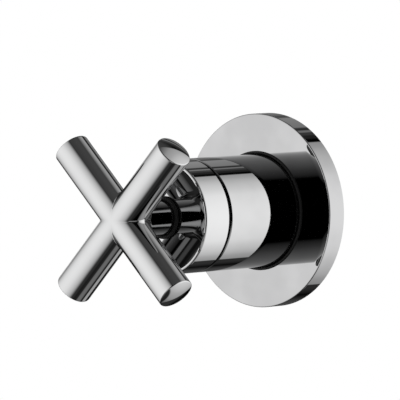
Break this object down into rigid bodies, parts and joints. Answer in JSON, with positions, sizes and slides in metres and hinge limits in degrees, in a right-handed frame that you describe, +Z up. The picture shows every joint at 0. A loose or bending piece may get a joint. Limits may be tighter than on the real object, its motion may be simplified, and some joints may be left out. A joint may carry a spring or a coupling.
{
  "type": "concealed diverter valve",
  "caption": "Wall-mounted concealed diverter valve with a round wall plate, sleeve and turning cross handle over a brass body with one inlet and two outlets.",
  "frame": {"origin": "where the valve's axis crosses the finished wall, at the back face of the wall plate", "axes": "-Y out of the wall towards the user, +Y into the wall, +Z up, +X to the right as the user sees it"},
  "size_m": [0.0738, 0.1466, 0.072],
  "materials": {
    "chrome": "mirror-polished chrome plate on brass",
    "brass": "turned brass",
    "cast_brass": "sand-cast and blasted brass, machined at the ports, flange and neck",
    "rubber": "black seal rubber",
    "foam": "closed-cell foam",
    "black_plastic": "black bearing plastic",
    "white_plastic": "white bearing plastic",
    "ceramic": "lapped white ceramic",
    "steel": "plain stainless steel"
  },
  "bodies": {
    "valve": {"escutcheon": "chrome", "escutcheon_ring": "rubber", "foam_seal": "foam", "sleeve": "chrome", "cartridge_housing": "brass", "cartridge_ring": "rubber", "stator_disc": "ceramic", "seat_gasket": "rubber", "valve_body": "cast_brass"},
    "handle": {"cross_handle": "chrome", "stem_ring": "rubber", "handle_cup": "chrome", "cup_nut": "brass", "guide_ring": "black_plastic", "grub_screw": "steel", "spindle_extension": "brass", "extension_screw": "steel", "spindle": "brass", "spindle_ring_front": "rubber", "spindle_ring_back": "rubber", "spindle_clip": "steel", "stop_ring": "brass", "friction_washer": "white_plastic", "rotor_disc": "ceramic"}
  },
  "joints": [
    {"name": "handle_turn", "type": "hinge", "parent": "valve", "child": "handle", "pos_m": [0, 0, 0], "axis": [0, 1, 0], "range_deg": [0, 90]}
  ]
}
